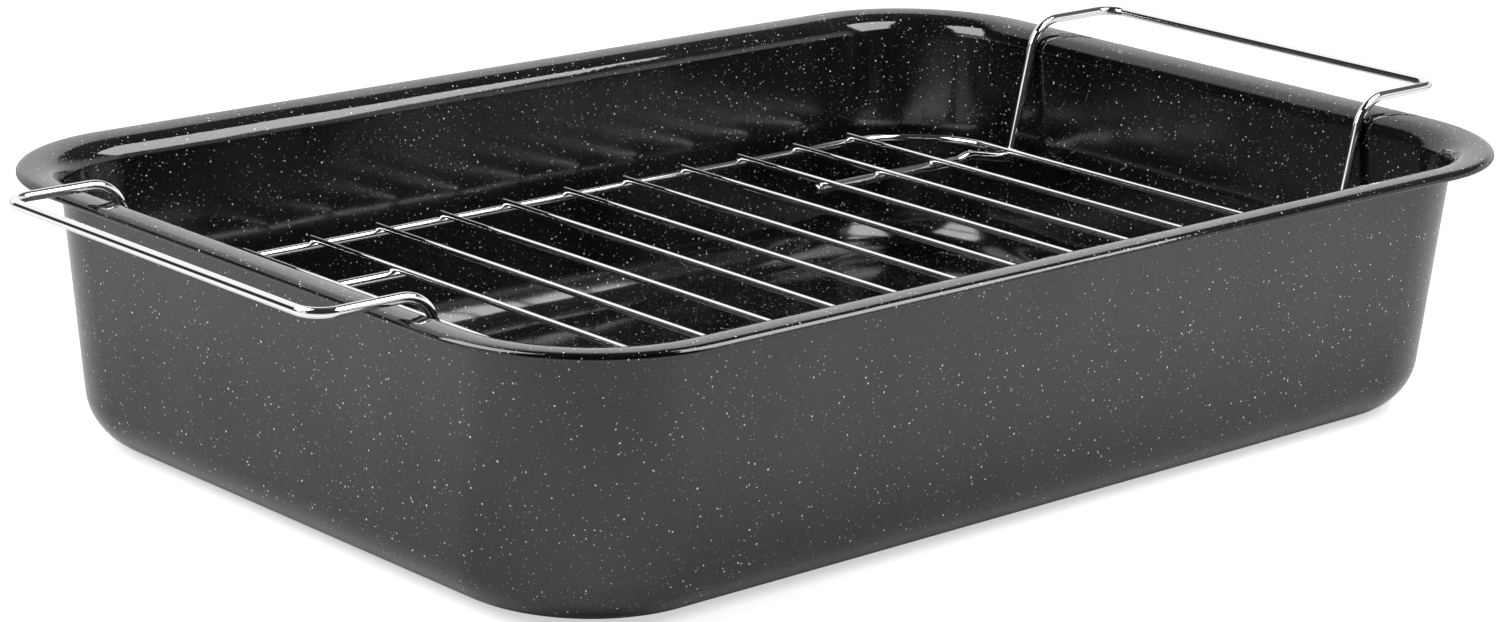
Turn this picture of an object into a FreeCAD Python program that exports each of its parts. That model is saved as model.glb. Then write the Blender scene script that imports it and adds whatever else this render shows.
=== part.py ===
import FreeCAD, Part
import Sketcher
import math
import os

# Enamelled roasting pan with a chromed wire rack
#
# Millimetres, Z up. The origin is the middle of the underside of the pan's floor, X runs
# along the pan and Y across it. The rack hangs in the pan by its two wire handles, whose
# legs lean on the round inner edge of the lip.

# Driving sizes

SIZES = [
    # The pan, drawn from one sheet
    ("pan_height", 80),
    ("rim_length", 390),
    ("rim_width", 274),
    ("rim_corner_radius", 50),
    ("lip_overhang", 12),
    ("sheet", 1),
    ("wall_lean", 3.7),
    ("base_corner_radius", 45),
    ("base_round", 15),
    ("lip_round", 6.5),
    ("bead_diameter", 2.4),
    ("edge_round", 2.1),
    ("edge_foot_round", 0.25),
    # The rack's frame and cross wires, placed from the pan's mouth
    ("rack_depth", 36.5),
    ("frame_wire", 2.5),
    ("frame_end_clearance", 11),
    ("frame_side_clearance", 13),
    ("frame_corner_radius", 34),
    ("cross_wire", 2),
    ("cross_wire_count", 12),
    ("end_wire_setback", 35.15),
    ("weld_depth", 0.3),
    # The handle wires
    ("handle_wire", 3),
    ("handle_spread", 140),
    ("leg_end_margin", 3.45),
    ("hump_setback", 18.5),
    ("hump_rise", 1.2),
    ("hump_radius", 10),
    ("arch_radius", 11),
    ("finger_room", 23),
    ("grip_corner_radius", 7),
    ("arm_clearance", 2.5),
    ("seat_clearance", 0.2),
]

doc = FreeCAD.newDocument("roasting_pan")
sheet = doc.addObject("Spreadsheet::Sheet", "Sizes")
for row, (alias, size) in enumerate(SIZES, start=1):
    sheet.set("A%d" % row, alias)
    sheet.set("B%d" % row, str(size))
    sheet.setAlias("B%d" % row, alias)
doc.recompute()


def size(expression):
    """The value now of an expression on the sheet."""
    return float(sheet.evalExpression(expression))


# Places that several pieces share, each an expression on the sheet

WALL_TOP_LENGTH = "(Sizes.rim_length - 2 * Sizes.lip_overhang)"
WALL_TOP_WIDTH = "(Sizes.rim_width - 2 * Sizes.lip_overhang)"
WALL_TOP_RADIUS = "(Sizes.rim_corner_radius - Sizes.lip_overhang)"
BASE_LENGTH = "(%s - 2 * Sizes.wall_lean)" % WALL_TOP_LENGTH
BASE_WIDTH = "(%s - 2 * Sizes.wall_lean)" % WALL_TOP_WIDTH
LIP_UNDERSIDE = "(Sizes.pan_height - Sizes.sheet)"
ROLL_INNER_LENGTH = "(Sizes.rim_length - 2 * Sizes.bead_diameter)"
ROLL_INNER_WIDTH = "(Sizes.rim_width - 2 * Sizes.bead_diameter)"
ROLL_INNER_RADIUS = "(Sizes.rim_corner_radius - Sizes.bead_diameter)"
FLOOR_STEP = "(Sizes.wall_lean * Sizes.sheet / Sizes.pan_height - Sizes.sheet)"
HOLLOW_TOP_LENGTH = "(%s - 2 * Sizes.sheet)" % WALL_TOP_LENGTH
HOLLOW_TOP_WIDTH = "(%s - 2 * Sizes.sheet)" % WALL_TOP_WIDTH
HOLLOW_TOP_RADIUS = "(%s - Sizes.sheet)" % WALL_TOP_RADIUS
HOLLOW_FLOOR_LENGTH = "(%s + 2 * %s)" % (BASE_LENGTH, FLOOR_STEP)
HOLLOW_FLOOR_WIDTH = "(%s + 2 * %s)" % (BASE_WIDTH, FLOOR_STEP)
CORNER_GROWTH = "(Sizes.base_corner_radius - %s)" % WALL_TOP_RADIUS
HOLLOW_FLOOR_RADIUS = ("(Sizes.base_corner_radius - %s * Sizes.sheet / Sizes.pan_height"
                       " - Sizes.sheet)" % CORNER_GROWTH)
FRAME_LENGTH = "(%s - 2 * Sizes.frame_end_clearance)" % HOLLOW_TOP_LENGTH
FRAME_WIDTH = "(%s - 2 * Sizes.frame_side_clearance)" % HOLLOW_TOP_WIDTH
FRAME_AXIS_LENGTH = "(%s - Sizes.frame_wire)" % FRAME_LENGTH
FRAME_AXIS_WIDTH = "(%s - Sizes.frame_wire)" % FRAME_WIDTH
RACK_HEIGHT = "(Sizes.pan_height - Sizes.rack_depth)"
FRAME_HEIGHT = ("(%s - Sizes.cross_wire / 2 - Sizes.frame_wire / 2 + Sizes.weld_depth)"
                % RACK_HEIGHT)
END_WIRE_X = "(%s / 2 - Sizes.end_wire_setback)" % FRAME_LENGTH
CROSS_WIRE_PITCH = "(2 * %s / (Sizes.cross_wire_count - 1))" % END_WIRE_X
LEG_HEIGHT = ("(%s - Sizes.cross_wire / 2 - Sizes.handle_wire / 2 + Sizes.weld_depth)"
              % RACK_HEIGHT)
LEG_INNER_END = "(%s - 2 * %s - Sizes.leg_end_margin)" % (END_WIRE_X, CROSS_WIRE_PITCH)
HUMP_X = "(%s / 2 - Sizes.hump_setback)" % FRAME_LENGTH
WRAP_RADIUS = "(Sizes.frame_wire / 2 + Sizes.handle_wire / 2 - Sizes.weld_depth)"
ARM_HEIGHT = "(Sizes.pan_height + Sizes.handle_wire / 2 + Sizes.arm_clearance)"
GRIP_X = "(Sizes.rim_length / 2 + Sizes.finger_room)"
GRIP_CORNER_X = "(%s - Sizes.grip_corner_radius)" % GRIP_X

# The legs' seat: a circle about the centre of the lip's round, as wide as the round and the wire

WALL_SLOPE = "(Sizes.wall_lean / Sizes.pan_height)"
SEAT_X = ("(%s / 2 - Sizes.lip_round * %s + Sizes.lip_round * sqrt(1 + %s ^ 2))"
          % (HOLLOW_TOP_LENGTH, WALL_SLOPE, WALL_SLOPE))
SEAT_Z = "(Sizes.pan_height - Sizes.lip_round)"
SEAT_RADIUS = "(Sizes.lip_round + Sizes.handle_wire / 2 + Sizes.seat_clearance)"


# Helpers for bodies and sketches

def new_body(name):
    body = doc.addObject("PartDesign::Body", name)
    body.Label = name
    return body


def new_sketch(body, name, role, offset=None):
    """A sketch on one of the body's own origin planes, moved along its normal."""
    sketch = body.newObject("Sketcher::SketchObject", name)
    plane = [feature for feature in body.Origin.OriginFeatures if feature.Role == role][0]
    sketch.AttachmentSupport = [(plane, "")]
    sketch.MapMode = "FlatFace"
    if offset:
        sketch.setExpression("AttachmentOffset.Base.z", offset)
    return sketch


def measure(sketch, kind, places, expression):
    """A dimension whose value is bound to an expression on the sheet."""
    index = sketch.addConstraint(Sketcher.Constraint(kind, *places, size(expression)))
    sketch.setExpression("Constraints[%d]" % index, expression)


def rounded_rectangle(sketch, length, width, radius):
    """Four sides and four equal corners, centred on the sketch's origin."""
    half_x = size(length) / 2
    half_y = size(width) / 2
    turn = size(radius)
    ends = [(half_x, half_y), (-half_x, half_y), (-half_x, -half_y), (half_x, -half_y)]
    corners = []
    for number, (x, y) in enumerate(ends):
        centre = FreeCAD.Vector(x - math.copysign(turn, x), y - math.copysign(turn, y), 0)
        circle = Part.Circle(centre, FreeCAD.Vector(0, 0, 1), turn)
        start = number * math.pi / 2
        corners.append(sketch.addGeometry(Part.ArcOfCircle(circle, start, start + math.pi / 2)))
    sides = []
    for number in range(4):
        here = sketch.getPoint(corners[number], 2)
        there = sketch.getPoint(corners[(number + 1) % 4], 1)
        sides.append(sketch.addGeometry(Part.LineSegment(here, there)))
    for number in range(4):
        following = (number + 1) % 4
        sketch.addConstraint(Sketcher.Constraint("Tangent", corners[number], 2, sides[number], 1))
        sketch.addConstraint(Sketcher.Constraint("Tangent", sides[number], 2, corners[following], 1))
        sketch.addConstraint(Sketcher.Constraint(("Horizontal", "Vertical")[number % 2], sides[number]))
    for corner in corners[1:]:
        sketch.addConstraint(Sketcher.Constraint("Equal", corners[0], corner))
    sketch.addConstraint(Sketcher.Constraint("Symmetric", corners[0], 3, corners[2], 3, -1, 1))
    measure(sketch, "Radius", (corners[0],), radius)
    measure(sketch, "DistanceX", (sides[1], 1, sides[3], 1), length)
    measure(sketch, "DistanceY", (sides[2], 1, sides[0], 1), width)
    return sketch


def wire_section(sketch, across, up, diameter):
    """The round section of a wire, placed by two distances from the sketch's origin."""
    centre = FreeCAD.Vector(size(across), size(up), 0)
    circle = sketch.addGeometry(Part.Circle(centre, FreeCAD.Vector(0, 0, 1), size(diameter) / 2))
    measure(sketch, "Diameter", (circle,), diameter)
    measure(sketch, "DistanceX", (-1, 1, circle, 3), across)
    measure(sketch, "DistanceY", (-1, 1, circle, 3), up)
    return circle


def pick_edges(feature, wanted):
    """Names of the feature's edges whose every end and middle the test accepts."""
    names = []
    for number, edge in enumerate(feature.Shape.Edges, start=1):
        middle = edge.valueAt((edge.FirstParameter + edge.LastParameter) / 2)
        points = [vertex.Point for vertex in edge.Vertexes] + [middle]
        if all(wanted(point) for point in points):
            names.append("Edge%d" % number)
    return names


def round_edges(body, name, feature, edges, radius):
    fillet = body.newObject("PartDesign::Fillet", name)
    fillet.Base = (feature, edges)
    fillet.setExpression("Radius", radius)
    doc.recompute()
    return fillet


# Pan: a drawn tray with leaning walls, a turned-out lip and a rolled edge

def build_form(body, name, top_size, top_place, bottom_size, bottom_place, bottom_round):
    """A leaning block between two rounded rectangles, its lower edge rounded."""
    tolerance = 0.01
    bottom = rounded_rectangle(new_sketch(body, name + "_bottom", "XY_Plane", bottom_place), *bottom_size)
    top = rounded_rectangle(new_sketch(body, name + "_top", "XY_Plane", top_place), *top_size)
    block = body.newObject("PartDesign::AdditiveLoft", name + "_block")
    block.Profile = top
    block.Sections = [bottom]
    block.Ruled = True
    doc.recompute()
    level = size(bottom_place or "0")
    edges = pick_edges(block, lambda point: abs(point.z - level) < tolerance)
    return round_edges(body, name + "_round", block, edges, bottom_round)


def build_hollow():
    """The room inside the pan, as a body of its own."""
    body = new_body("hollow")
    build_form(body, "hollow",
               (HOLLOW_TOP_LENGTH, HOLLOW_TOP_WIDTH, HOLLOW_TOP_RADIUS), "Sizes.pan_height",
               (HOLLOW_FLOOR_LENGTH, HOLLOW_FLOOR_WIDTH, HOLLOW_FLOOR_RADIUS), "Sizes.sheet",
               "Sizes.base_round - Sizes.sheet")
    return body


def build_pan():
    body = new_body("pan")
    tolerance = 0.01
    height = size("Sizes.pan_height")
    underside = height - size("Sizes.sheet")
    low = height - size("Sizes.bead_diameter")
    length = size(WALL_TOP_LENGTH)
    width = size(WALL_TOP_WIDTH)

    def inside(point, step):
        return abs(point.x) < length / 2 + step and abs(point.y) < width / 2 + step

    build_form(body, "drawn", (WALL_TOP_LENGTH, WALL_TOP_WIDTH, WALL_TOP_RADIUS), "Sizes.pan_height",
               (BASE_LENGTH, BASE_WIDTH, "Sizes.base_corner_radius"), None, "Sizes.base_round")
    plate_sketch = rounded_rectangle(new_sketch(body, "lip_outline", "XY_Plane", LIP_UNDERSIDE),
                                     "Sizes.rim_length", "Sizes.rim_width", "Sizes.rim_corner_radius")
    plate = body.newObject("PartDesign::Pad", "lip_plate")
    plate.Profile = plate_sketch
    plate.setExpression("Length", "Sizes.sheet")
    doc.recompute()
    roll_sketch = new_sketch(body, "edge_roll_outline", "XY_Plane", LIP_UNDERSIDE)
    rounded_rectangle(roll_sketch, "Sizes.rim_length", "Sizes.rim_width", "Sizes.rim_corner_radius")
    rounded_rectangle(roll_sketch, ROLL_INNER_LENGTH, ROLL_INNER_WIDTH, ROLL_INNER_RADIUS)
    roll = body.newObject("PartDesign::Pad", "edge_roll")
    roll.Profile = roll_sketch
    roll.Reversed = True
    roll.setExpression("Length", "Sizes.bead_diameter - Sizes.sheet")
    doc.recompute()
    step = body.newObject("PartDesign::Boolean", "hollowed")
    step.Type = "Cut"
    step.Group = [build_hollow()]
    doc.recompute()
    edges = pick_edges(step, lambda point: abs(point.z - underside) < tolerance and inside(point, 1))
    step = round_edges(body, "lip_underside_round", step, edges, "Sizes.lip_round - Sizes.sheet")
    edges = pick_edges(step, lambda point: abs(point.z - height) < tolerance and inside(point, 1))
    step = round_edges(body, "lip_round", step, edges, "Sizes.lip_round")
    for name, level, radius in (("edge_roll_foot", low, "Sizes.edge_foot_round"),
                                ("edge_roll_round", height, "Sizes.edge_round")):
        edges = pick_edges(step, lambda point: abs(point.z - level) < tolerance
                           and not inside(point, size("Sizes.lip_overhang") * 0.95))
        step = round_edges(body, name, step, edges, radius)
    body.Tip = step
    return body


# Rack frame: one wire bent to a rounded rectangle and closed by a butt weld

def build_frame_wire():
    body = new_body("frame_wire_loop")
    path = rounded_rectangle(new_sketch(body, "frame_path", "XY_Plane", FRAME_HEIGHT),
                             FRAME_AXIS_LENGTH, FRAME_AXIS_WIDTH, "Sizes.frame_corner_radius")
    section = new_sketch(body, "frame_section", "XZ_Plane")
    wire_section(section, FRAME_AXIS_LENGTH + " / 2", FRAME_HEIGHT, "Sizes.frame_wire")
    pipe = body.newObject("PartDesign::AdditivePipe", "frame_wire_run")
    pipe.Profile = section
    pipe.Spine = path
    doc.recompute()
    return body


# Cross wires: straight wires trimmed flush with the frame's long sides

def build_cross_wires():
    wires = []
    count = int(size("Sizes.cross_wire_count"))
    for number in range(1, count + 1):
        name = "cross_wire_%02d" % number
        wire = doc.addObject("Part::Cylinder", name)
        wire.Label = name
        wire.setExpression("Radius", "Sizes.cross_wire / 2")
        wire.setExpression("Height", FRAME_WIDTH)
        wire.Placement.Rotation = FreeCAD.Rotation(FreeCAD.Vector(1, 0, 0), -90)
        place = "(%d - (Sizes.cross_wire_count + 1) / 2) * %s" % (number, CROSS_WIRE_PITCH)
        wire.setExpression("Placement.Base.x", place)
        wire.setExpression("Placement.Base.y", "-%s / 2" % FRAME_WIDTH)
        wire.setExpression("Placement.Base.z", RACK_HEIGHT)
        wires.append(wire)
    doc.recompute()
    return wires


# Handle wire: half of it is drawn as a side view of the leg and a plan of the grip

def leg_points():
    """Centres, radii and turning points of the leg's line, read from the sheet."""
    bend = size("Sizes.hump_radius")
    level = size(LEG_HEIGHT)
    hump_x = size(HUMP_X)
    rise = size("Sizes.hump_rise")
    run = math.sqrt((2 * bend) ** 2 - (2 * bend - rise) ** 2)
    first = (hump_x - run, level + bend)
    crest = (hump_x, level + rise - bend)
    meeting = math.atan2(crest[1] - first[1], crest[0] - first[0])
    wrap = (size(FRAME_AXIS_LENGTH) / 2, size(FRAME_HEIGHT))
    wrap_radius = size(WRAP_RADIUS)
    seat = (size(SEAT_X), size(SEAT_Z))
    seat_radius = size(SEAT_RADIUS)

    def crossing(one, other, reach, side):
        """Direction of the line that touches two circles on opposite sides."""
        along = math.atan2(other[1] - one[1], other[0] - one[0])
        return along + side * math.asin(reach / math.dist(one, other))

    down = crossing(crest, wrap, bend + wrap_radius, -1)
    up = crossing(wrap, seat, wrap_radius + seat_radius, 1)
    arch = size("Sizes.arch_radius")
    arch_centre_z = size(ARM_HEIGHT) - arch
    start_x = wrap[0] + wrap_radius * math.sin(up)
    start_z = wrap[1] - wrap_radius * math.cos(up)
    top_z = arch_centre_z + arch * math.cos(up)
    top_x = start_x + (top_z - start_z) / math.tan(up)
    arch_centre = (top_x + arch * math.sin(up), arch_centre_z)
    return {"bend": bend, "level": level, "first": first, "crest": crest, "meeting": meeting,
            "wrap": wrap, "wrap_radius": wrap_radius, "seat": seat, "seat_radius": seat_radius,
            "down": down, "up": up, "arch": arch, "arch_centre": arch_centre}


def arc(sketch, centre, radius, start, end):
    circle = Part.Circle(FreeCAD.Vector(centre[0], centre[1], 0), FreeCAD.Vector(0, 0, 1), radius)
    return sketch.addGeometry(Part.ArcOfCircle(circle, start, end))


def line(sketch, start, end):
    return sketch.addGeometry(Part.LineSegment(start, end))


def draw_leg(sketch):
    """The wire's line from its inner end, under the frame, up the leg and out along the arm."""
    at = leg_points()
    inner = FreeCAD.Vector(size(LEG_INNER_END), at["level"], 0)
    turned = at["meeting"] + math.pi
    foot = line(sketch, inner, FreeCAD.Vector(at["first"][0], at["level"], 0))
    rise = arc(sketch, at["first"], at["bend"], -math.pi / 2, at["meeting"])
    crest = arc(sketch, at["crest"], at["bend"], at["down"] + math.pi / 2, turned)
    wrap = arc(sketch, at["wrap"], at["wrap_radius"], at["down"] - math.pi / 2, at["up"] - math.pi / 2)
    fall = line(sketch, sketch.getPoint(crest, 1), sketch.getPoint(wrap, 1))
    arch = arc(sketch, at["arch_centre"], at["arch"], math.pi / 2, at["up"] + math.pi / 2)
    leg = line(sketch, sketch.getPoint(wrap, 2), sketch.getPoint(arch, 2))
    arm_end = FreeCAD.Vector(size(GRIP_CORNER_X), size(ARM_HEIGHT), 0)
    arm = line(sketch, sketch.getPoint(arch, 1), arm_end)
    circle = Part.Circle(FreeCAD.Vector(at["seat"][0], at["seat"][1], 0), FreeCAD.Vector(0, 0, 1),
                         at["seat_radius"])
    seat = sketch.addGeometry(circle, True)
    joins = [(foot, 2, rise, 1), (rise, 2, crest, 2), (crest, 1, fall, 1), (fall, 2, wrap, 1),
             (wrap, 2, leg, 1), (leg, 2, arch, 2), (arch, 1, arm, 1), (leg, seat)]
    for join in joins:
        sketch.addConstraint(Sketcher.Constraint("Tangent", *join))
    sketch.addConstraint(Sketcher.Constraint("Horizontal", foot))
    sketch.addConstraint(Sketcher.Constraint("Horizontal", arm))
    measure(sketch, "DistanceX", (-1, 1, foot, 1), LEG_INNER_END)
    measure(sketch, "DistanceY", (-1, 1, foot, 1), LEG_HEIGHT)
    measure(sketch, "Radius", (rise,), "Sizes.hump_radius")
    measure(sketch, "Radius", (crest,), "Sizes.hump_radius")
    measure(sketch, "DistanceX", (-1, 1, crest, 3), HUMP_X)
    measure(sketch, "DistanceY", (-1, 1, crest, 3), LEG_HEIGHT + " + Sizes.hump_rise - Sizes.hump_radius")
    measure(sketch, "DistanceX", (-1, 1, wrap, 3), FRAME_AXIS_LENGTH + " / 2")
    measure(sketch, "DistanceY", (-1, 1, wrap, 3), FRAME_HEIGHT)
    measure(sketch, "Radius", (wrap,), WRAP_RADIUS)
    measure(sketch, "DistanceX", (-1, 1, seat, 3), SEAT_X)
    measure(sketch, "DistanceY", (-1, 1, seat, 3), SEAT_Z)
    measure(sketch, "Radius", (seat,), SEAT_RADIUS)
    measure(sketch, "Radius", (arch,), "Sizes.arch_radius")
    measure(sketch, "DistanceY", (-1, 1, arm, 2), ARM_HEIGHT)
    measure(sketch, "DistanceX", (-1, 1, arm, 2), GRIP_CORNER_X)
    return sketch


def draw_half_grip(sketch):
    """Plan of the grip from its middle round the corner to the end of the arm."""
    reach = size(GRIP_X)
    half = size("Sizes.handle_spread / 2")
    turn = size("Sizes.grip_corner_radius")
    bar = line(sketch, FreeCAD.Vector(reach, 0, 0), FreeCAD.Vector(reach, half - turn, 0))
    corner = arc(sketch, (reach - turn, half - turn), turn, 0, math.pi / 2)
    sketch.addConstraint(Sketcher.Constraint("Tangent", bar, 2, corner, 1))
    sketch.addConstraint(Sketcher.Constraint("Vertical", bar))
    sketch.addConstraint(Sketcher.Constraint("Vertical", corner, 3, corner, 2))
    sketch.addConstraint(Sketcher.Constraint("PointOnObject", bar, 1, -1))
    measure(sketch, "DistanceX", (-1, 1, bar, 1), GRIP_X)
    measure(sketch, "Radius", (corner,), "Sizes.grip_corner_radius")
    measure(sketch, "DistanceY", (-1, 1, corner, 2), "Sizes.handle_spread / 2")
    return sketch


def build_handle_wire(name, turn):
    body = new_body(name)
    leg_path = draw_leg(new_sketch(body, "leg_path", "XZ_Plane", "-Sizes.handle_spread / 2"))
    leg_section = new_sketch(body, "leg_section", "YZ_Plane", LEG_INNER_END)
    wire_section(leg_section, "Sizes.handle_spread / 2", LEG_HEIGHT, "Sizes.handle_wire")
    leg = body.newObject("PartDesign::AdditivePipe", "leg_run")
    leg.Profile = leg_section
    leg.Spine = leg_path
    doc.recompute()
    grip_path = draw_half_grip(new_sketch(body, "grip_path", "XY_Plane", ARM_HEIGHT))
    grip_section = new_sketch(body, "grip_section", "XZ_Plane")
    wire_section(grip_section, GRIP_X, ARM_HEIGHT, "Sizes.handle_wire")
    grip = body.newObject("PartDesign::AdditivePipe", "grip_run")
    grip.Profile = grip_section
    grip.Spine = grip_path
    doc.recompute()
    other = body.newObject("PartDesign::Mirrored", "other_half")
    other.Originals = [leg, grip]
    plane = [feature for feature in body.Origin.OriginFeatures if feature.Role == "XZ_Plane"][0]
    other.MirrorPlane = (plane, [""])
    body.Tip = other
    body.Placement = FreeCAD.Placement(FreeCAD.Vector(0, 0, 0), FreeCAD.Vector(0, 0, 1), turn)
    doc.recompute()
    return body


# Welds: where two wires sink into each other, the lower one gives way

def cut_away(name, base, tool):
    cut = doc.addObject("Part::Cut", name)
    cut.Label = name
    cut.Base = base
    cut.Tool = tool
    doc.recompute()
    return cut


pan = build_pan()
frame_loop = build_frame_wire()
cross_wires = build_cross_wires()
wire_set = doc.addObject("Part::Compound", "cross_wire_set")
wire_set.Links = cross_wires
doc.recompute()
rack_frame = cut_away("rack_frame", frame_loop, wire_set)
handles = []
for name, turn in (("right_handle", 0), ("left_handle", 180)):
    bent_wire = build_handle_wire(name + "_wire", turn)
    welded = cut_away(name + "_under_cross_wires", bent_wire, wire_set)
    handles.append(cut_away(name, welded, frame_loop))

nodes = [pan, rack_frame] + cross_wires + handles

# Checks before anything is written

for obj in doc.Objects:
    if "Invalid" in obj.State or "Error" in obj.State:
        raise RuntimeError("%s failed: %s" % (obj.Name, obj.State))
for node in nodes:
    if node.Shape.isNull() or not node.Shape.isValid() or len(node.Shape.Solids) != 1:
        raise RuntimeError("%s has no single valid solid" % node.Label)

# Parts

os.makedirs("parts", exist_ok=True)
for node in nodes:
    node.Shape.exportStep("parts/%s.step" % node.Label)
    box = node.Shape.BoundBox
    print("%-14s %9.1f mm3  x %7.2f %7.2f  y %7.2f %7.2f  z %6.2f %6.2f" % (
        node.Label, node.Shape.Volume, box.XMin, box.XMax, box.YMin, box.YMax, box.ZMin, box.ZMax))
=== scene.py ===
# %% [markdown]
# A roasting pan and its wire rack
#
# The real object is a deep pan pressed from one steel sheet and coated with black speckled
# enamel, and a rack of chromed wire that hangs in it by two handles. The frame below is the
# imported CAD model, in metres. Its nodes are made of loose triangles, which is fine for a
# fixed machine part but shows as facets in a surface that mirrors the room. So each piece is
# modelled again here as a smooth surface of the same size and place.

import math

import bmesh
import bpy
from mathutils import Matrix, Vector


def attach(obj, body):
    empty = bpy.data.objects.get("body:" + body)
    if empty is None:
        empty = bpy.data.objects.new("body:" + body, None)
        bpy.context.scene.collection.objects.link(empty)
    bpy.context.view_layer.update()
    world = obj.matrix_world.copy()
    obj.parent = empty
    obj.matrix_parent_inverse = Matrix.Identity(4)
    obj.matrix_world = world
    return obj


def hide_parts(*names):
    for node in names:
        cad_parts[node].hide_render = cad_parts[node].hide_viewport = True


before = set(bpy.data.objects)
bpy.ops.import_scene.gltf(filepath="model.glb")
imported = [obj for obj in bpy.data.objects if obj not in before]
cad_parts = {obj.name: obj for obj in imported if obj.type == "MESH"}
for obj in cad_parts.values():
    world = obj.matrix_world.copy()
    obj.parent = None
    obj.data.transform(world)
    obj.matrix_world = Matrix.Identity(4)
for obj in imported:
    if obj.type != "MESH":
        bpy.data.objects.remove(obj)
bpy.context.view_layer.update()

# %% [markdown]
# Sizes are written in millimetres, because that is how a maker would give them. One factor
# turns them into the metres that Blender works in.
#
# The lip ends in a rolled edge. Its outer side falls away over EDGE_FALL outwards and
# EDGE_ROUND down, its foot is rounded, and the highest line of the lip lies CREST_IN inside
# that fall. From there the lip slopes down, and it meets the round of the mouth at
# CROWN_SLOPE degrees.

# %% Sizes of the pan
MM = 0.001

PAN_HEIGHT = 80.0
RIM_LENGTH = 390.0
RIM_WIDTH = 274.0
LIP_OVERHANG = 12.0
SHEET = 1.0
WALL_LEAN = 3.7
WALL_TOP_RADIUS = 38.0
BASE_CORNER_RADIUS = 45.0
BASE_ROUND = 15.0
LIP_ROUND = 6.5
BEAD = 2.4
EDGE_ROUND = 1.5
EDGE_FALL = 2.2
EDGE_FOOT_ROUND = 0.8
EDGE_CORNER = 0.2
CROWN_SLOPE = 10.5
CREST_IN = 0.6

WALL_TOP_X = RIM_LENGTH / 2 - LIP_OVERHANG
WALL_TOP_Y = RIM_WIDTH / 2 - LIP_OVERHANG
CORE_X = WALL_TOP_X - WALL_TOP_RADIUS
CORE_Y = WALL_TOP_Y - WALL_TOP_RADIUS
CORE_LEAN = (WALL_LEAN + BASE_CORNER_RADIUS - WALL_TOP_RADIUS) / PAN_HEIGHT
print("straight part of the long side:", 2 * CORE_X, "mm")

# %% [markdown]
# The section of the sheet is drawn once, as a line of points: along the underside of the
# floor, up the outside of the wall, under the lip, round the rolled edge, back over the lip
# and down the inside. Straight pieces need two points, and each bend gets enough to look
# round when light runs along it.
#
# The lip isn't quite flat. It is crowned, so that it is highest just inside the rolled edge
# and slopes down towards the pan, and that crest draws the bright line along the rim.

# %% The section of the sheet
WALL_SLOPE = math.atan(WALL_LEAN / PAN_HEIGHT)
BASE_STEPS = 14
UNDER_LIP_STEPS = 8
FOOT_STEPS = 6
LIP_STEPS = 12
CROWN_STEPS = 8


def wall_line(height, inner):
    """How far the wall stands from the line of the wall's top edge."""
    return -WALL_LEAN * (1 - height / PAN_HEIGHT) - inner * SHEET


def bend_points(centre, radius, start, end, steps):
    """Points of an arc, its angles in degrees."""
    points = []
    for step in range(steps + 1):
        angle = math.radians(start + (end - start) * step / steps)
        points.append((centre[0] + radius * math.cos(angle), centre[1] + radius * math.sin(angle)))
    return points


def sheet_section():
    """The section as (distance out from the wall's top edge, height)."""
    slope = math.degrees(WALL_SLOPE)
    skew = 1 / math.cos(WALL_SLOPE)
    axis = -WALL_TOP_RADIUS - CORE_LEAN * PAN_HEIGHT
    inner_base = BASE_ROUND - SHEET
    outer_lip = LIP_ROUND - SHEET
    lip_centre = PAN_HEIGHT - LIP_ROUND
    bead_low = PAN_HEIGHT - BEAD
    points = [(axis, 0)]
    points += bend_points((wall_line(BASE_ROUND, 0) - BASE_ROUND * skew, BASE_ROUND),
                          BASE_ROUND, -90, -slope, BASE_STEPS)
    points += bend_points((wall_line(lip_centre, 0) + outer_lip * skew, lip_centre),
                          outer_lip, 180 - slope, 90, UNDER_LIP_STEPS)
    points.append((LIP_OVERHANG - BEAD, PAN_HEIGHT - SHEET))
    points.append((LIP_OVERHANG - BEAD, bead_low + EDGE_CORNER))
    points.append((LIP_OVERHANG - BEAD + EDGE_CORNER, bead_low))
    points += bend_points((LIP_OVERHANG - EDGE_FOOT_ROUND, bead_low + EDGE_FOOT_ROUND),
                          EDGE_FOOT_ROUND, -90, 0, FOOT_STEPS)
    pitch = math.radians(CROWN_SLOPE)
    edge_start = LIP_OVERHANG - EDGE_FALL
    crest = edge_start - CREST_IN
    crown_end = wall_line(lip_centre, 1) + LIP_ROUND * skew - LIP_ROUND * math.sin(pitch)
    crown_radius = (crest - crown_end) / math.tan(pitch)
    edge_middle = PAN_HEIGHT - CREST_IN ** 2 / (2 * crown_radius) - EDGE_ROUND
    turned = 90 - math.degrees(math.atan(CREST_IN / crown_radius * EDGE_FALL / EDGE_ROUND))
    for out, up in bend_points((0, 0), 1, 0, turned, LIP_STEPS):
        points.append((edge_start + EDGE_FALL * out, edge_middle + EDGE_ROUND * up))
    for step in range(CROWN_STEPS):
        out = edge_start + (crown_end - edge_start) * step / CROWN_STEPS
        points.append((out, PAN_HEIGHT - (out - crest) ** 2 / (2 * crown_radius)))
    crown_drop = (crest - crown_end) * math.tan(pitch) / 2
    round_middle = PAN_HEIGHT - crown_drop - LIP_ROUND * math.cos(pitch)
    points += bend_points((wall_line(round_middle, 1) + LIP_ROUND * skew, round_middle),
                          LIP_ROUND, 90 + CROWN_SLOPE, 180 - slope, LIP_STEPS)
    points += bend_points((wall_line(BASE_ROUND, 1) - inner_base * skew, BASE_ROUND),
                          inner_base, -slope, -90, BASE_STEPS)
    inner_axis = -WALL_TOP_RADIUS - CORE_LEAN * (PAN_HEIGHT - SHEET)
    points.append((inner_axis, SHEET))
    return points


section = sheet_section()
print("points in the section:", len(section))

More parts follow.
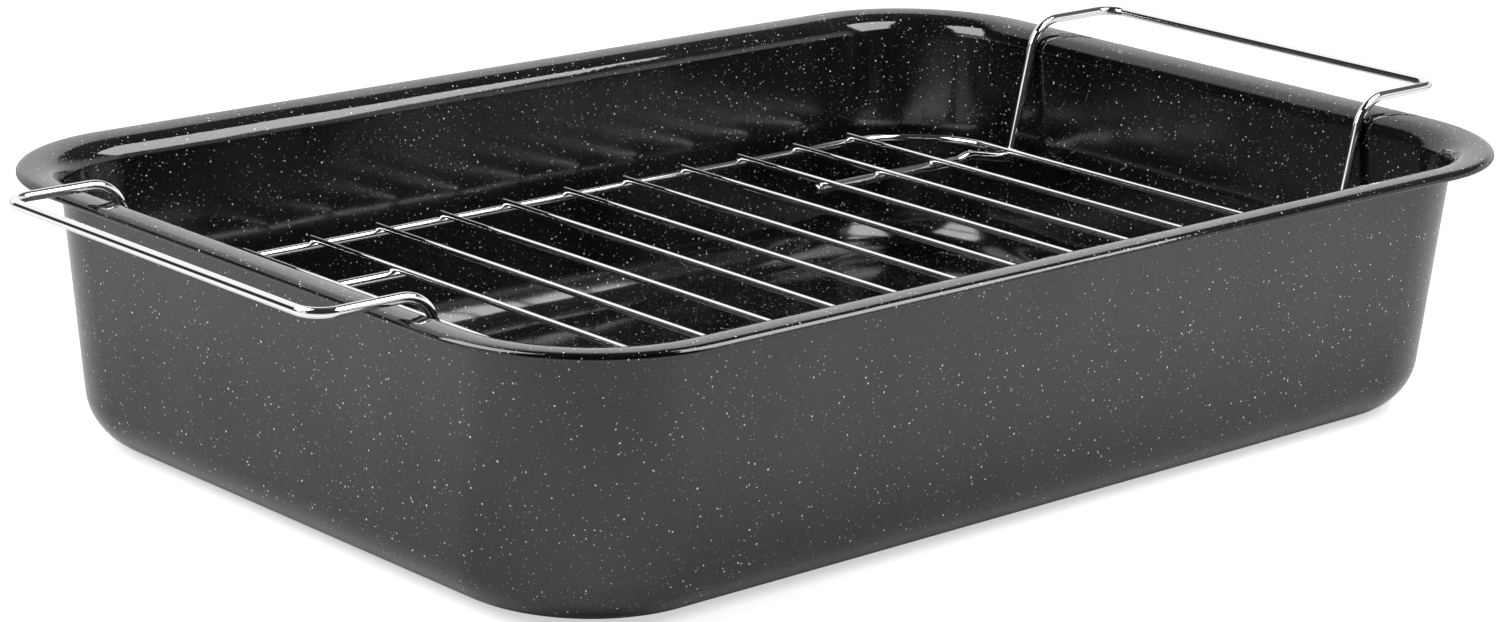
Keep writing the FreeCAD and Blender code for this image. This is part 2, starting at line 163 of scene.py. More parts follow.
# %% [markdown]
# A pressed pan has no seams, so one quarter is made and mirrored twice. The corner is the
# section spun through a right angle. On the real pan the corner's radius grows towards the
# base, because a deep drawing tool needs it. A spin can't do that by itself, but a shear
# afterwards can: the spun corner gets the radius of each height, and the shear then slides
# each height inwards to where that corner stands.

# %% One quarter of the pan
CORNER_STEPS = 28
SAME_PLACE = 0.001


def pan_quarter():
    """The corner of the pan, as a bmesh in millimetres."""
    bm = bmesh.new()
    verts = []
    for out, height in section:
        radius = out + WALL_TOP_RADIUS + CORE_LEAN * (PAN_HEIGHT - height)
        verts.append(bm.verts.new((radius, 0, height)))
    edges = [bm.edges.new(pair) for pair in zip(verts, verts[1:])]
    bmesh.ops.spin(bm, geom=verts + edges, cent=(0, 0, 0), axis=(0, 0, 1),
                   angle=math.radians(90), steps=CORNER_STEPS, use_duplicate=False)
    bmesh.ops.remove_doubles(bm, verts=bm.verts, dist=SAME_PLACE)
    shear = Matrix(((1, 0, CORE_LEAN, 0), (0, 1, CORE_LEAN, 0), (0, 0, 1, 0), (0, 0, 0, 1)))
    shift = Matrix.Translation((CORE_X - CORE_LEAN * PAN_HEIGHT, CORE_Y - CORE_LEAN * PAN_HEIGHT, 0))
    bmesh.ops.transform(bm, matrix=shift @ shear, verts=bm.verts)
    return bm


def run_to_middle(bm, axis):
    """Extrude one open side of the corner to the middle plane of the pan."""
    core = (CORE_X, CORE_Y)[axis]

    def on_side(vert):
        return abs(vert.co[axis] - core + CORE_LEAN * (PAN_HEIGHT - vert.co.z)) < SAME_PLACE

    side = [edge for edge in bm.edges if len(edge.link_faces) == 1 and all(map(on_side, edge.verts))]
    made = bmesh.ops.extrude_edge_only(bm, edges=side)["geom"]
    for vert in (item for item in made if isinstance(item, bmesh.types.BMVert)):
        vert.co[axis] = 0
    return len(side)


quarter = pan_quarter()
print("faces in the spun corner:", len(quarter.faces))
print("edges run to the middle:", run_to_middle(quarter, 0), run_to_middle(quarter, 1))

# %% [markdown]
# The quarter is mirrored over both middle planes and welded there. Its faces then have to
# point outwards, or light would treat the metal as hollow. Weighted normals let the big flat
# walls keep their own direction where they meet the small faces of a bend.

# %% The whole pan
SMOOTH_ANGLE = math.radians(40)


def finish_piece(bm, name):
    """Turn a bmesh in millimetres into an object in metres, smooth where it bends gently."""
    bmesh.ops.recalc_face_normals(bm, faces=bm.faces)
    bmesh.ops.transform(bm, matrix=Matrix.Scale(MM, 4), verts=bm.verts)
    mesh = bpy.data.meshes.new(name)
    bm.to_mesh(mesh)
    bm.free()
    mesh.shade_smooth()
    mesh.set_sharp_from_angle(angle=SMOOTH_ANGLE)
    piece = bpy.data.objects.new(name, mesh)
    bpy.context.scene.collection.objects.link(piece)
    weighted = piece.modifiers.new("Weighted normals", "WEIGHTED_NORMAL")
    weighted.keep_sharp = True
    return piece


for axis in ("X", "Y"):
    whole = quarter.verts[:] + quarter.edges[:] + quarter.faces[:]
    bmesh.ops.mirror(quarter, geom=whole, axis=axis, merge_dist=SAME_PLACE)
open_edges = sum(1 for edge in quarter.edges if len(edge.link_faces) != 2)
print("open edges left in the pan:", open_edges)
pan = finish_piece(quarter, "enamelled_pan")
print("faces in the pan:", len(pan.data.polygons))

# %% [markdown]
# Wire goods are made on a bender: a straight length is fed out, then the wire is turned
# about a pin. The script does the same. The open ring at the wire's end is extruded for a
# straight length and spun for a bend, and it remembers where it is and which way it points.

# %% A wire bender
WIRE_SIDES = 24
BEND_STEP = 7.5


def feed_start(place, along, up, diameter):
    """Put the first ring of a wire down. All lengths are in millimetres."""
    bm = bmesh.new()
    along = Vector(along)
    aim = Vector((0, 0, 1)).rotation_difference(along).to_matrix().to_4x4()
    stand = Matrix.Translation(place) @ aim
    made = bmesh.ops.create_circle(bm, segments=WIRE_SIDES, radius=diameter / 2, matrix=stand)
    ring = list({edge for vert in made["verts"] for edge in vert.link_edges})
    return {"bm": bm, "ring": ring, "place": Vector(place), "along": along, "up": Vector(up)}


def feed(wire, length):
    """Feed a straight length of wire out."""
    made = bmesh.ops.extrude_edge_only(wire["bm"], edges=wire["ring"])["geom"]
    verts = [item for item in made if isinstance(item, bmesh.types.BMVert)]
    bmesh.ops.translate(wire["bm"], verts=verts, vec=wire["along"] * length)
    fresh = set(verts)
    wire["ring"] = [edge for edge in made if isinstance(edge, bmesh.types.BMEdge)
                    and edge.verts[0] in fresh and edge.verts[1] in fresh]
    wire["place"] += wire["along"] * length


def bend(wire, degrees, radius, side):
    """Turn the wire about a pin that stands on its left, or above or below it."""
    up = wire["up"]
    towards = {"up": up, "down": -up, "left": up.cross(wire["along"])}[side]
    axis = wire["along"].cross(towards)
    pin = wire["place"] + towards * radius
    verts = list({vert for edge in wire["ring"] for vert in edge.verts})
    steps = max(2, round(degrees / BEND_STEP))
    made = bmesh.ops.spin(wire["bm"], geom=verts + wire["ring"], cent=pin, axis=axis,
                          angle=math.radians(degrees), steps=steps, use_duplicate=False)
    wire["ring"] = [item for item in made["geom_last"] if isinstance(item, bmesh.types.BMEdge)]
    turn = Matrix.Rotation(math.radians(degrees), 3, axis)
    wire["place"] = pin + turn @ (wire["place"] - pin)
    wire["along"] = turn @ wire["along"]
    wire["up"] = turn @ wire["up"]


def close_ends(bm, soften, steps):
    """Cap the two cut ends and take their sharp edges off."""
    ends = [edge for edge in bm.edges if len(edge.link_faces) == 1]
    bmesh.ops.holes_fill(bm, edges=ends, sides=0)
    bmesh.ops.bevel(bm, geom=ends, offset=soften, offset_type="OFFSET", affect="EDGES",
                    segments=steps, profile=0.5, material=-1, clamp_overlap=True)


print("steps in a right-angle bend:", round(90 / BEND_STEP))

# %% [markdown]
# The rack's frame is one wire bent to a rounded rectangle, with room left between it and
# the pan's walls. Its two ends meet at a butt weld in the middle of a long side, so here the
# last ring is merged with the first.

# %% Rack frame
RACK_DEPTH = 36.5
CROSS_WIRE = 2.0
FRAME_WIRE = 2.5
WELD_DEPTH = 0.3
END_CLEARANCE = 11.0
SIDE_CLEARANCE = 13.0
FRAME_CORNER = 34.0

RACK_HEIGHT = PAN_HEIGHT - RACK_DEPTH
FRAME_X = WALL_TOP_X - SHEET - END_CLEARANCE - FRAME_WIRE / 2
FRAME_Y = WALL_TOP_Y - SHEET - SIDE_CLEARANCE - FRAME_WIRE / 2
FRAME_HEIGHT = RACK_HEIGHT - CROSS_WIRE / 2 - FRAME_WIRE / 2 + WELD_DEPTH

frame_wire = feed_start((0, -FRAME_Y, FRAME_HEIGHT), (1, 0, 0), (0, 0, 1), FRAME_WIRE)
long_run = FRAME_X - FRAME_CORNER
short_run = 2 * (FRAME_Y - FRAME_CORNER)
for length in (long_run, short_run, 2 * long_run, short_run):
    feed(frame_wire, length)
    bend(frame_wire, 90, FRAME_CORNER, "left")
feed(frame_wire, long_run)
bmesh.ops.remove_doubles(frame_wire["bm"], verts=frame_wire["bm"].verts, dist=SAME_PLACE)
print("frame wire closes at:", [round(value, 3) for value in frame_wire["place"]])

# %% [markdown]
# A resistance weld squeezes the two hot wires into each other and leaves a small flattened
# bead beside the crossing. Each bead here is a squashed ball, and it belongs to the wire
# below. The cross wires are straight lengths cut flush with the frame, so a plain cylinder
# with softened ends is all they need.

# %% Cross wires and weld beads
CROSS_COUNT = 12
CROSS_PITCH = 24.7
CROSS_LENGTH = 2 * FRAME_Y + FRAME_WIRE
CROSS_SOFTENING = 0.2
BEAD_RISE = 0.75
FRAME_BEAD = 1.45
cross_places = [(number - (CROSS_COUNT - 1) / 2) * CROSS_PITCH for number in range(CROSS_COUNT)]


def weld_bead(bm, place, reach):
    """Add a bead that reaches so far out from the middle of the crossing."""
    size = Matrix.Diagonal((reach, reach, BEAD_RISE, 1))
    bmesh.ops.create_icosphere(bm, subdivisions=2, radius=1, matrix=Matrix.Translation(place) @ size)


weld_height = RACK_HEIGHT - CROSS_WIRE / 2 + WELD_DEPTH / 2
for x in cross_places:
    for y in (-FRAME_Y, FRAME_Y):
        weld_bead(frame_wire["bm"], (x, y, weld_height), FRAME_BEAD)
rack_frame = finish_piece(frame_wire["bm"], "chromed_frame")

cross_wires = []
for number, x in enumerate(cross_places, start=1):
    bm = bmesh.new()
    lay = Matrix.Translation((x, 0, RACK_HEIGHT)) @ Matrix.Rotation(math.radians(90), 4, "X")
    bmesh.ops.create_cone(bm, cap_ends=False, segments=WIRE_SIDES, radius1=CROSS_WIRE / 2,
                          radius2=CROSS_WIRE / 2, depth=CROSS_LENGTH, matrix=lay)
    close_ends(bm, CROSS_SOFTENING, 2)
    cross_wires.append(finish_piece(bm, "chromed_cross_wire_%02d" % number))
print("cross wires at:", [round(x, 2) for x in cross_places])

# %% [markdown]
# Each handle is one thicker wire. Seen from the side it runs flat under three cross wires,
# rises over a small hump, dips under the frame, climbs the end wall at a lean and turns over
# the lip; the grip is bent sideways. The bending table lists that half once, and the second
# half is the same table read backwards. Its lengths in millimetres and its angles in degrees
# are those of the wire in the CAD model, to the nearest hundredth.

# %% Handles
HANDLE_WIRE = 3.0
HANDLE_HALF = 70.0
HUMP_RADIUS = 10.0
WRAP_RADIUS = FRAME_WIRE / 2 + HANDLE_WIRE / 2 - WELD_DEPTH
ARCH_RADIUS = 11.0
HANDLE_TABLE = [
    ("feed", 62.68), ("up", 19.95, HUMP_RADIUS), ("down", 31.99, HUMP_RADIUS), ("feed", 14.98),
    ("up", 88.81, WRAP_RADIUS), ("feed", 35.47), ("down", 76.76, ARCH_RADIUS), ("feed", 20.03),
]
GRIP_CORNER = 7.0
GRIP_TABLE = [
    ("left", 90, GRIP_CORNER), ("feed", 2 * (HANDLE_HALF - GRIP_CORNER)), ("left", 90, GRIP_CORNER),
]
HANDLE_SOFTENING = 0.35
HANDLE_BEAD = 1.55
LEG_START = 83.0
LEG_HEIGHT = RACK_HEIGHT - CROSS_WIRE / 2 - HANDLE_WIRE / 2 + WELD_DEPTH


def follow(wire, table):
    """Feed and bend the wire as a bending table says."""
    for step in table:
        if step[0] == "feed":
            feed(wire, step[1])
        else:
            bend(wire, step[1], step[2], step[0])


def handle(name, turned):
    """One handle, made at the right end and turned half round for the left."""
    wire = feed_start((LEG_START, -HANDLE_HALF, LEG_HEIGHT), (1, 0, 0), (0, 0, 1), HANDLE_WIRE)
    follow(wire, HANDLE_TABLE)
    follow(wire, GRIP_TABLE)
    print("grip ends at:", [round(value, 2) for value in wire["place"]])
    follow(wire, HANDLE_TABLE[::-1])
    print("wire ends at:", [round(value, 2) for value in wire["place"]])
    close_ends(wire["bm"], HANDLE_SOFTENING, 3)
    for x in cross_places[-3:]:
        for y in (-HANDLE_HALF, HANDLE_HALF):
            weld_bead(wire["bm"], (x, y, weld_height), HANDLE_BEAD)
    if turned:
        bmesh.ops.rotate(wire["bm"], cent=(0, 0, 0), verts=wire["bm"].verts,
                         matrix=Matrix.Rotation(math.pi, 3, "Z"))
    return finish_piece(wire["bm"], name)


right_handle = handle("chromed_right_handle", False)
left_handle = handle("chromed_left_handle", True)

# %% [markdown]
# The pieces ride on the one body, and each stands for its CAD node.

# %% Tie the pieces to the frame
pairs = [(pan, "pan", "enamel"), (rack_frame, "rack_frame", "chromed_wire"),
         (left_handle, "left_handle", "chromed_wire"), (right_handle, "right_handle", "chromed_wire")]
for number, wire in enumerate(cross_wires, start=1):
    pairs.append((wire, "cross_wire_%02d" % number, "chromed_wire"))
for piece, node, slot in pairs:
    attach(piece, "root")
    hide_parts(node)
print("pieces tied:", len(pairs))

# %% [markdown]
# Colours are written as sRGB hex values, as a paint card gives them. The shader needs them
# linear, so one function undoes the sRGB curve. Another adds a node to a tree, sets it and
# links it. A Map Range node runs from 0 to 1 on both sides where nothing else is given.

# %% Colour and node helpers
SMOOTH_STEP = {"interpolation_type": "SMOOTHSTEP"}
TIMES = {"operation": "MULTIPLY"}
LARGER = {"operation": "MAXIMUM"}


def linear(code):
    """An sRGB hex value as linear red, green, blue and alpha."""
    values = []
    for place in (0, 2, 4):
        value = int(code[place:place + 2], 16) / 255
        values.append(value / 12.92 if value <= 0.04045 else ((value + 0.055) / 1.055) ** 2.4)
    return (*values, 1)


def add_node(tree, kind, settings=None, inputs=None):
    """Add a node, set its properties and fill or link its sockets."""
    node = tree.nodes.new(kind)
    for name, value in (settings or {}).items():
        setattr(node, name, value)
    for name, value in (inputs or {}).items():
        if isinstance(value, bpy.types.NodeSocket):
            tree.links.new(value, node.inputs[name])
        else:
            node.inputs[name].default_value = value
    return node


def new_material(name):
    """An empty material and its node tree."""
    material = bpy.data.materials.new(name)
    material.use_nodes = True
    tree = material.node_tree
    tree.nodes.clear()
    return material, tree


print("sRGB 808080 is linear", round(linear("808080")[0], 3))

# %% [markdown]
# Vitreous enamel is glass fused to steel: glossy, hard, with a faint orange-peel waviness.
# This one is black with fine white speckles, thrown on before firing, most of them well
# under a millimetre. Two layers of them are laid over each other, one fine and faint, one
# coarser and bright. Space is divided into cells, and a share of the cells holds a small
# ball. A fleck is where the surface cuts such a ball, so the flecks vary as real drops do.

# %% White flecks
FINE_FLECKS = {"cell": 0.6, "share": 0.30, "largest": 0.34, "soften": 0.10,
               "dimmest": 0.1, "brightest": 0.55}
COARSE_FLECKS = {"cell": 1.2, "share": 0.36, "largest": 0.26, "soften": 0.04,
                 "dimmest": 0.4, "brightest": 1.0}


def speckles(tree, place, cell, share, largest, soften, dimmest, brightest):
    """How white the flecks are: a share of the cells, each cell so many millimetres wide."""
    cells = add_node(tree, "ShaderNodeTexVoronoi", {"voronoi_dimensions": "3D", "feature": "F1"},
                     {"Vector": place, "Scale": 1 / (cell * MM)})
    luck = add_node(tree, "ShaderNodeTexWhiteNoise", {"noise_dimensions": "3D"},
                    {"Vector": cells.outputs["Color"]})
    size = add_node(tree, "ShaderNodeMapRange", None,
                    {"Value": luck.outputs["Value"], "From Min": 1 - share, "To Max": largest})
    depth = add_node(tree, "ShaderNodeMath", {"operation": "SUBTRACT"},
                     {0: size.outputs["Result"], 1: cells.outputs["Distance"]})
    spot = add_node(tree, "ShaderNodeMapRange", None,
                    {"Value": depth.outputs[0], "From Max": soften})
    tint = add_node(tree, "ShaderNodeSeparateColor", None, {"Color": luck.outputs["Color"]})
    strength = add_node(tree, "ShaderNodeMapRange", None,
                        {"Value": tint.outputs["Green"], "To Min": dimmest, "To Max": brightest})
    return add_node(tree, "ShaderNodeMath", TIMES,
                    {0: spot.outputs["Result"], 1: strength.outputs["Result"]}).outputs[0]


# %% [markdown]
# The black has patches of lighter grey painted into it, taller than they are wide: a painted
# reflection, standing in for the uneven mirror image of the floor in the wall. The coat swells
# slowly over centimetres and is pitted like a peel over millimetres, most of all on the lip.
# The lip is the glossiest, then the floor, then the wall. The widths of one painted patch, one
# swell and one pit of the peel are given below in millimetres.

# %% Black speckled enamel
ENAMEL_INDEX = 1.65
BLACK = "020203"
PAINTED_SHEEN_GREY = "171718"
# The painted reflection: the grey of its patches, their width, how much taller they stand, and how
# soft their edges are.
FLECK_WHITE = "FFFFFC"
SHEEN_PATCH = 41.67
SHEEN_PATCH_TALLER = 0.35
SHEEN_PATCH_EDGES = (0.35, 0.65)
SWELL = 29.41
SWELL_DEPTH = 0.7
PEEL = 2.381
PEEL_DEPTH = 0.1
PEEL_ON_WALL = 0.10
PEEL_ON_LIP = 0.35
FLOOR_ROUGHNESS = 0.11
WALL_ROUGHNESS = 0.17
LIP_SMOOTHER = 0.11


def speckled_enamel():
    """The enamel's material. Its heights are those of the pan's floor, wall and lip."""
    material, tree = new_material("black speckled vitreous enamel, fired")
    place = add_node(tree, "ShaderNodeTexCoord").outputs["Object"]
    fine = speckles(tree, place, **FINE_FLECKS)
    coarse = speckles(tree, place, **COARSE_FLECKS)
    flecks = add_node(tree, "ShaderNodeMath", LARGER, {0: fine, 1: coarse})
    # Painted reflection: patches of lighter grey in the black, standing in for the floor's uneven
    # mirror image in the wall.
    upright = add_node(tree, "ShaderNodeMapping", None,
                       {"Vector": place, "Scale": (1.0, 1.0, SHEEN_PATCH_TALLER)})
    sheen_noise = add_node(tree, "ShaderNodeTexNoise", None,
                     {"Vector": upright.outputs[0], "Scale": 1 / (SHEEN_PATCH * MM), "Detail": 8.0,
                      "Roughness": 0.7})
    painted_sheen = add_node(tree, "ShaderNodeMapRange", None,
                      {"Value": sheen_noise.outputs["Fac"], "From Min": SHEEN_PATCH_EDGES[0],
                       "From Max": SHEEN_PATCH_EDGES[1]})
    ground = add_node(tree, "ShaderNodeMix", {"data_type": "RGBA"},
                      {"Factor": painted_sheen.outputs["Result"], "A": linear(BLACK),
                       "B": linear(PAINTED_SHEEN_GREY)})
    colour = add_node(tree, "ShaderNodeMix", {"data_type": "RGBA"},
                      {"Factor": flecks.outputs[0], "A": ground.outputs["Result"],
                       "B": linear(FLECK_WHITE)})
    swell = add_node(tree, "ShaderNodeTexNoise", None,
                     {"Vector": place, "Scale": 1 / (SWELL * MM), "Detail": 0.0})
    peel = add_node(tree, "ShaderNodeTexNoise", None,
                    {"Vector": place, "Scale": 1 / (PEEL * MM), "Detail": 2.0})
    height = add_node(tree, "ShaderNodeSeparateXYZ", None, {"Vector": place}).outputs["Z"]
    rough_wall = add_node(tree, "ShaderNodeMapRange", None,
                          {"Value": height, "From Min": 2 * MM, "From Max": 20 * MM,
                           "To Min": FLOOR_ROUGHNESS, "To Max": WALL_ROUGHNESS})
    smooth_lip = add_node(tree, "ShaderNodeMapRange", None,
                          {"Value": height, "From Min": 72 * MM, "From Max": 77 * MM,
                           "To Max": LIP_SMOOTHER})
    gloss = add_node(tree, "ShaderNodeMath", {"operation": "SUBTRACT"},
                     {0: rough_wall.outputs["Result"], 1: smooth_lip.outputs["Result"]})
    on_lip = add_node(tree, "ShaderNodeMapRange", None,
                      {"Value": height, "From Min": 74.5 * MM, "From Max": 77 * MM,
                       "To Min": PEEL_ON_WALL, "To Max": PEEL_ON_LIP})
    slow = add_node(tree, "ShaderNodeBump", None,
                    {"Strength": 0.8, "Distance": SWELL_DEPTH * MM, "Height": swell.outputs["Fac"]})
    bump = add_node(tree, "ShaderNodeBump", None,
                    {"Strength": on_lip.outputs["Result"], "Distance": PEEL_DEPTH * MM,
                     "Height": peel.outputs["Fac"], "Normal": slow.outputs["Normal"]})
    shader = add_node(tree, "ShaderNodeBsdfPrincipled", None,
                      {"Base Color": colour.outputs["Result"], "Roughness": gloss.outputs[0],
                       "IOR": ENAMEL_INDEX, "Normal": bump.outputs["Normal"]})
    add_node(tree, "ShaderNodeOutputMaterial", None, {"Surface": shader.outputs["BSDF"]})
    return material


enamel = speckled_enamel()
print("nodes in the enamel:", len(enamel.node_tree.nodes))

# %% [markdown]
# The wires are drawn steel with bright chrome plating: a hard mirror, a trace bluer than
# white. The lines that drawing leaves are too fine to show here. The plating's slight ripple
# shows, in swells a few millimetres wide.

# %% Chromed wire
CHROME_WHITE = "F6F6F8"
RIPPLE = 6.25
RIPPLE_DEPTH = 0.1


def chromed_wire():
    """The plated wire's material."""
    material, tree = new_material("bright chrome plating on drawn wire")
    place = add_node(tree, "ShaderNodeTexCoord").outputs["Object"]
    ripple = add_node(tree, "ShaderNodeTexNoise", None,
                      {"Vector": place, "Scale": 1 / (RIPPLE * MM), "Detail": 3.0})
    bump = add_node(tree, "ShaderNodeBump", None,
                    {"Strength": 0.08, "Distance": RIPPLE_DEPTH * MM, "Height": ripple.outputs["Fac"]})
    shader = add_node(tree, "ShaderNodeBsdfPrincipled", None,
                      {"Base Color": linear(CHROME_WHITE), "Metallic": 1.0, "Roughness": 0.03,
                       "Normal": bump.outputs["Normal"]})
    add_node(tree, "ShaderNodeOutputMaterial", None, {"Surface": shader.outputs["BSDF"]})
    return material


chrome = chromed_wire()
for piece, node, slot in pairs:
    finish = enamel if slot == "enamel" else chrome
    piece.data.materials.append(finish)
    cad_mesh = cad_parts[node].data
    cad_mesh.materials.clear()
    cad_mesh.materials.append(finish)
print("finishes:", enamel.name, "and", chrome.name)

# %% [markdown]
# The pan stands on a plain white floor. Its glow is for the camera and for mirrors only, so
# the picture gets a white ground, the pan's shadow stays, and no light is added to the pan.
# The lamps are near, so the glow grows where their light fades.

# %% Floor
FLOOR_REACH = 6.0
FLOOR_DROP = 0.2
FLOOR_WHITE = "DEDEDE"
GLOW_NEAR = 0.6
GLOW_FAR = 1.0
GLOW_EDGES = (0.25, 0.8)
GLOW_MIRRORED = 0.05


def white_floor():
    """A floor that reaches so many metres each way, a hair below the pan."""
    bm = bmesh.new()
    bmesh.ops.create_grid(bm, x_segments=1, y_segments=1, size=FLOOR_REACH)
    bmesh.ops.translate(bm, verts=bm.verts, vec=(0, 0, -FLOOR_DROP * MM))
    mesh = bpy.data.meshes.new("floor")
    bm.to_mesh(mesh)
    bm.free()
    floor = bpy.data.objects.new("floor", mesh)
    bpy.context.scene.collection.objects.link(floor)
    material, tree = new_material("matt white floor")
    rays = add_node(tree, "ShaderNodeLightPath")
    seen = add_node(tree, "ShaderNodeMath", LARGER,
                    {0: rays.outputs["Is Camera Ray"], 1: rays.outputs["Is Transmission Ray"]})
    place = add_node(tree, "ShaderNodeTexCoord").outputs["Object"]
    reach = add_node(tree, "ShaderNodeVectorMath", {"operation": "LENGTH"}, {0: place})
    white = add_node(tree, "ShaderNodeMapRange", SMOOTH_STEP,
                     {"Value": reach.outputs["Value"], "From Min": GLOW_EDGES[0],
                      "From Max": GLOW_EDGES[1], "To Min": GLOW_NEAR, "To Max": GLOW_FAR})
    shown = add_node(tree, "ShaderNodeMath", TIMES, {0: seen.outputs[0], 1: white.outputs["Result"]})
    glow = add_node(tree, "ShaderNodeMath", {"operation": "MULTIPLY_ADD"},
                    {0: rays.outputs["Is Glossy Ray"], 1: GLOW_MIRRORED, 2: shown.outputs[0]})
    matt = add_node(tree, "ShaderNodeBsdfDiffuse", None, {"Color": linear(FLOOR_WHITE)})
    light = add_node(tree, "ShaderNodeEmission", None,
                     {"Color": (1, 1, 1, 1), "Strength": glow.outputs[0]})
    both = add_node(tree, "ShaderNodeAddShader")
    tree.links.new(matt.outputs[0], both.inputs[0])
    tree.links.new(light.outputs[0], both.inputs[1])
    add_node(tree, "ShaderNodeOutputMaterial", None, {"Surface": both.outputs[0]})
    floor.data.materials.append(material)
    return floor


floor = white_floor()
print("floor:", [round(side, 2) for side in floor.dimensions])

# %% [markdown]
# Black enamel looks black only if it has something dark to mirror, and chrome looks bright
# only if it has something white. In this studio a low white backdrop stands behind the pan,
# a tall white card to its left, and a low white board to the left of the camera, which gives
# the round legs of the handles their light side. The rest is dim, and darkest behind the
# camera.
#
# All of it is only for mirrors: the camera sees plain white, and matt surfaces get a little
# even light. AWAY runs level from the camera through the pan, and ASIDE to the right of it.
# Each white thing is where two soft steps are both up, each along one measure of the
# direction: its X, Y or Z, or how near it lies to a way ahead or a way beside the camera.

# %% Studio
AWAY = Vector((0.676, 0.737, 0.0))
ASIDE = Vector((0.737, -0.676, 0.0))
UP = Vector((0, 0, 1))
DIM_AHEAD = 0.11
DIM_BEHIND = 0.03
SOFT_LIGHT = 0.15
WHITE_THINGS = {
    "backdrop": (("ahead", 0.0, 0.35), ("Z", 0.5, 0.2)),
    "tall card": (("X", -0.46, -0.28), ("Y", 0.5, 0.6)),
    "low board": (("beside", 0.93, 0.955), ("Z", 0.34, 0.22)),
}


def way(turn, rise):
    """A direction, by its angle to the right of the backdrop's middle and above level."""
    level = math.cos(math.radians(turn)) * AWAY + math.sin(math.radians(turn)) * ASIDE
    return math.cos(math.radians(rise)) * level + math.sin(math.radians(rise)) * UP


WAYS = {"ahead": way(25, 0), "beside": way(-122, 8)}


def studio():
    """The world: white for the camera, a studio for mirrors, a little light for the rest."""
    world = bpy.data.worlds.new("white backdrop in a dim studio")
    world.use_nodes = True
    tree = world.node_tree
    tree.nodes.clear()
    direction = add_node(tree, "ShaderNodeTexCoord").outputs["Generated"]
    parts = add_node(tree, "ShaderNodeSeparateXYZ", None, {"Vector": direction})
    measures = {name: parts.outputs[name] for name in ("X", "Y", "Z")}
    for name, aim in WAYS.items():
        near = add_node(tree, "ShaderNodeVectorMath", {"operation": "DOT_PRODUCT"},
                        {0: direction, 1: aim})
        measures[name] = near.outputs["Value"]
    risen = {}
    white = 0.0
    for thing, steps in WHITE_THINGS.items():
        risen[thing] = []
        for name, start, end in steps:
            step = add_node(tree, "ShaderNodeMapRange", SMOOTH_STEP,
                            {"Value": measures[name], "From Min": start, "From Max": end})
            risen[thing].append(step.outputs["Result"])
        both = add_node(tree, "ShaderNodeMath", TIMES, {0: risen[thing][0], 1: risen[thing][1]})
        white = add_node(tree, "ShaderNodeMath", LARGER, {0: white, 1: both.outputs[0]}).outputs[0]
    dim = add_node(tree, "ShaderNodeMapRange", None,
                   {"Value": risen["backdrop"][0], "To Min": DIM_BEHIND, "To Max": DIM_AHEAD})
    rays = add_node(tree, "ShaderNodeLightPath")
    room = add_node(tree, "ShaderNodeMath", LARGER, {0: white, 1: dim.outputs["Result"]})
    mirrored = add_node(tree, "ShaderNodeMath", TIMES,
                        {0: rays.outputs["Is Glossy Ray"], 1: room.outputs[0]})
    level = add_node(tree, "ShaderNodeMath", {"operation": "MULTIPLY_ADD"},
                     {0: rays.outputs["Is Diffuse Ray"], 1: SOFT_LIGHT, 2: mirrored.outputs[0]})
    seen = add_node(tree, "ShaderNodeMath", LARGER,
                    {0: rays.outputs["Is Camera Ray"], 1: rays.outputs["Is Transmission Ray"]})
    strength = add_node(tree, "ShaderNodeMath", LARGER, {0: level.outputs[0], 1: seen.outputs[0]})
    back = add_node(tree, "ShaderNodeBackground", None,
                    {"Color": (1, 1, 1, 1), "Strength": strength.outputs[0]})
    add_node(tree, "ShaderNodeOutputWorld", None, {"Surface": back.outputs[0]})
    bpy.context.scene.world = world
    print("nodes in the studio:", len(tree.nodes))


studio()

# %% [markdown]
# Two soft boxes stand close by, one to each side of the pan and some 45 degrees up. They
# draw the bright window on each far corner of the lip, the long streak on the far flare and
# the white line along every wire.

# %% Soft boxes
BOX_RADIANCE = 6.4
BOX_MIDDLE = Vector((0, 0, 0.07))


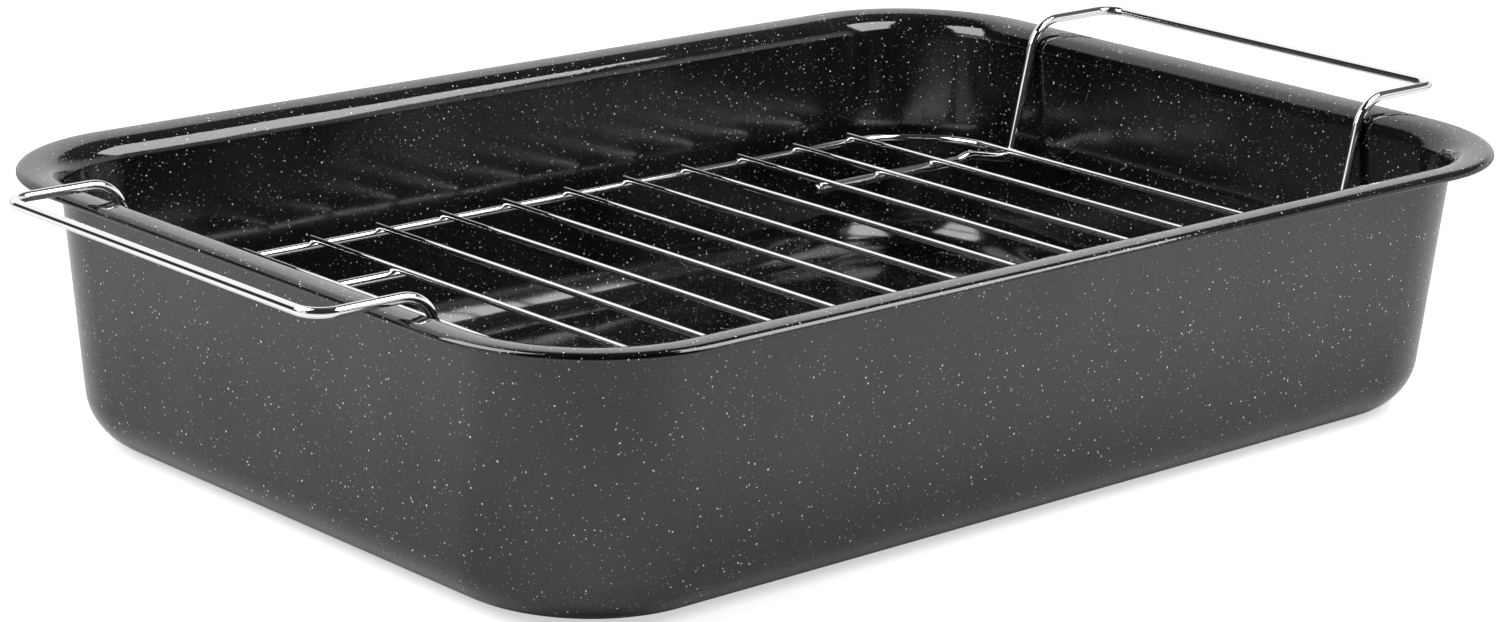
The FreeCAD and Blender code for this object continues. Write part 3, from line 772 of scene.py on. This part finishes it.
def soft_box(name, turn, rise, distance, size, roll):
    """A rectangle of light that looks at the pan from so many degrees and metres away."""
    lamp = bpy.data.lights.new(name, "AREA")
    lamp.shape = "RECTANGLE"
    lamp.size, lamp.size_y = size
    lamp.energy = BOX_RADIANCE * math.pi * size[0] * size[1]
    out = way(turn, rise)
    holder = bpy.data.objects.new(name, lamp)
    aim = out.to_track_quat("Z", "Y").to_matrix().to_4x4()
    holder.matrix_world = (Matrix.Translation(BOX_MIDDLE + out * distance) @ aim
                           @ Matrix.Rotation(math.radians(roll), 4, "Z"))
    bpy.context.scene.collection.objects.link(holder)
    print(name, "gives", round(lamp.energy, 2), "W")


soft_box("right soft box", 98.0, 46.0, 0.69, (0.56, 0.42), 42.0)
soft_box("left soft box", -112.0, 44.0, 0.85, (0.55, 0.66), 15.0)

# %% [markdown]
# The camera stands where the photographer's did: to the left of the near long side and
# sixteen degrees above it, with a long lens. Its place, turn and lens were worked out from
# the pan's outline.

# %% Camera
CAMERA_AZIMUTH = -42.56
CAMERA_ELEVATION = 16.06
CAMERA_DISTANCE = 1200.07
CAMERA_TARGET = (-7.76, 0.69, 32.52)
CAMERA_ROLL = 1.59
LENS_PIXELS = 4071.93
IMAGE_WIDTH = 1500
SENSOR = 36.0

camera_data = bpy.data.cameras.new("camera")
camera_data.sensor_fit = "HORIZONTAL"
camera_data.sensor_width = SENSOR
camera_data.lens = LENS_PIXELS * SENSOR / IMAGE_WIDTH
camera_data.clip_start = 0.01
camera_data.clip_end = 50
camera = bpy.data.objects.new("camera", camera_data)
bpy.context.scene.collection.objects.link(camera)
bpy.context.scene.camera = camera

azimuth = math.radians(CAMERA_AZIMUTH)
elevation = math.radians(CAMERA_ELEVATION)
roll = math.radians(CAMERA_ROLL)
backwards = Vector((math.sin(azimuth) * math.cos(elevation),
                    -math.cos(azimuth) * math.cos(elevation), math.sin(elevation)))
level_right = (-backwards).cross(Vector((0, 0, 1))).normalized()
level_up = level_right.cross(-backwards)
right = math.cos(roll) * level_right + math.sin(roll) * level_up
up = -math.sin(roll) * level_right + math.cos(roll) * level_up
turn = Matrix((right, up, backwards)).transposed().to_4x4()
stand = Vector(CAMERA_TARGET) * MM + backwards * CAMERA_DISTANCE * MM
camera.matrix_world = Matrix.Translation(stand) @ turn
print("camera at:", [round(value, 4) for value in stand])

bpy.context.scene.view_settings.view_transform = "Standard"
